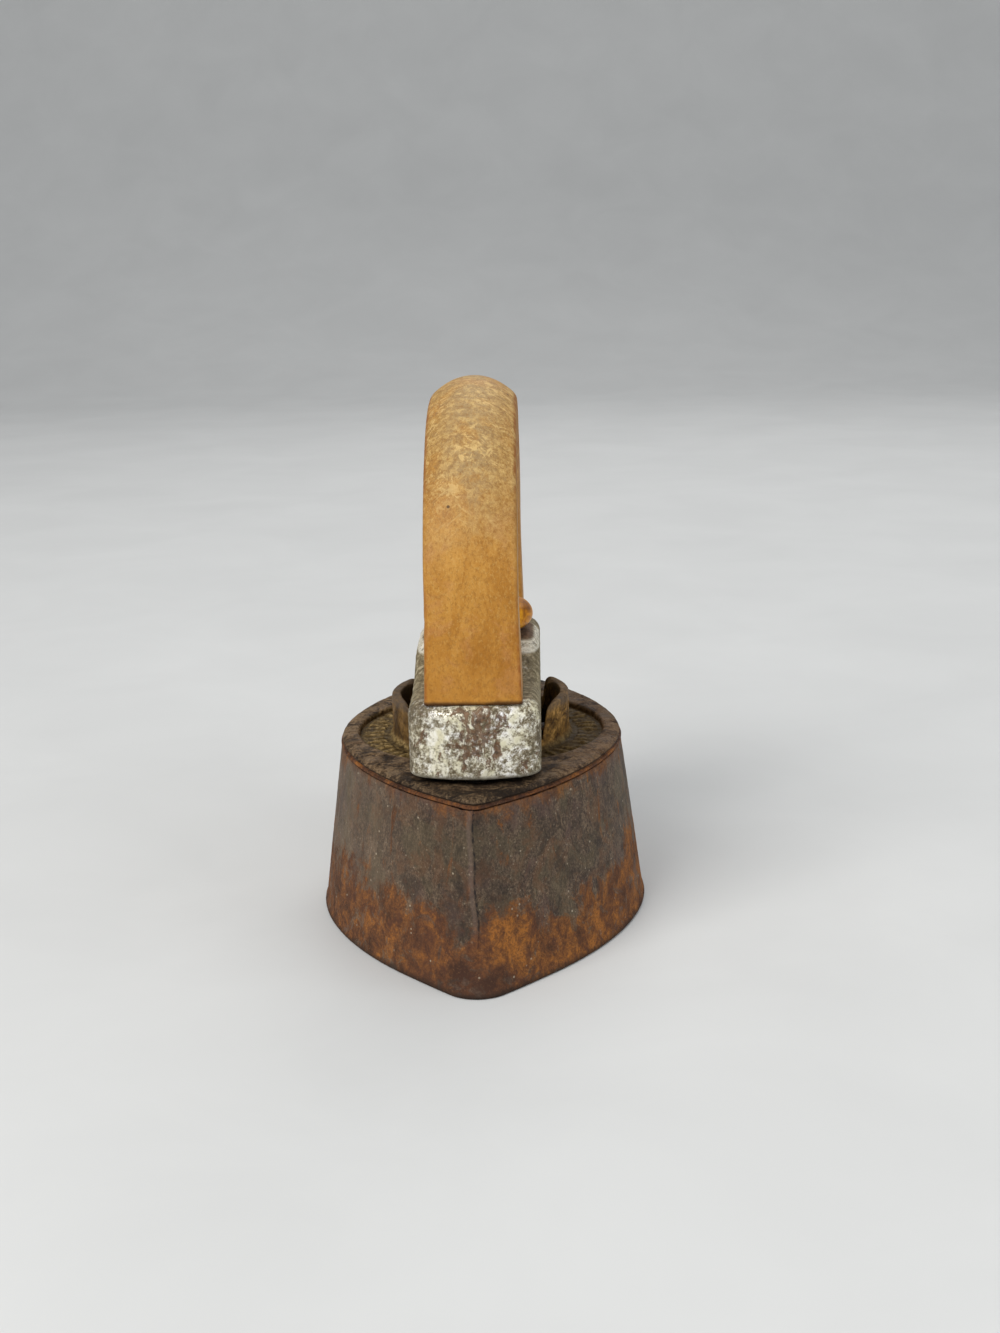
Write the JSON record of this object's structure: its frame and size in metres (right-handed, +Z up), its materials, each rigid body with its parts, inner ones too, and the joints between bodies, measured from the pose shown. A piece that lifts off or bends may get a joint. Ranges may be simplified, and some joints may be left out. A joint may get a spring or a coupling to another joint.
{
  "type": "cold-handle sad iron",
  "caption": "Double-pointed cast-iron sad iron with a lift-off wooden arch handle, a notched seat collar and a pull-knob spring latch.",
  "frame": {"origin": "centre of the sole, on the surface the iron stands on", "axes": "+Z up, Y along the iron's length with a nose at each end, X across its width"},
  "size_m": [0.1, 0.1568, 0.16],
  "materials": {
    "cast_body": "bare cast iron, brown-grey patina, orange rust low down and at the edges",
    "cast_cap": "bare cast iron, dark brown, rust along its seam",
    "plaster": "dull cast plaster",
    "nickel_plate": "worn nickel plate over iron, pitted, with brown rust patches",
    "grip_wood": "honey-coloured hardwood, hand-worn, greyer at the top",
    "knob_wood": "amber turned hardwood, polished by use",
    "dark_steel": "darkened steel with light rust",
    "bright_steel": "dull bare steel",
    "spring_steel": "blued spring steel",
    "brass": "aged brass"
  },
  "bodies": {
    "base": {"body_casting": "cast_body", "insulating_core": "plaster", "top_plate": "cast_cap", "keeper_bar": "dark_steel", "cap_screws": "dark_steel"},
    "handle": {"handle_bracket": "nickel_plate", "wood_grip": "grip_wood", "grip_washers": "bright_steel", "grip_screws": "bright_steel", "spindle_bush": "brass", "knob_washer": "dark_steel", "catch_spring": "spring_steel", "catch_rivets": "bright_steel"},
    "latch": {"latch_knob": "knob_wood", "latch_spindle": "bright_steel", "spring_seat": "bright_steel", "seat_pin": "bright_steel", "return_spring": "spring_steel", "spreader_cone": "brass", "lock_nut": "brass"}
  },
  "joints": [
    {"name": "handle_lift", "type": "slide", "parent": "base", "child": "handle", "axis": [0, 0, 1], "range_m": [0, 0.06], "deforming": ["catch_spring"]},
    {"name": "knob_pull", "type": "slide", "parent": "handle", "child": "latch", "axis": [0, 0, 1], "range_m": [0, 0.0045], "stiffness_N_per_m": 900, "springref_m": -0.004, "deforming": ["return_spring"]}
  ]
}
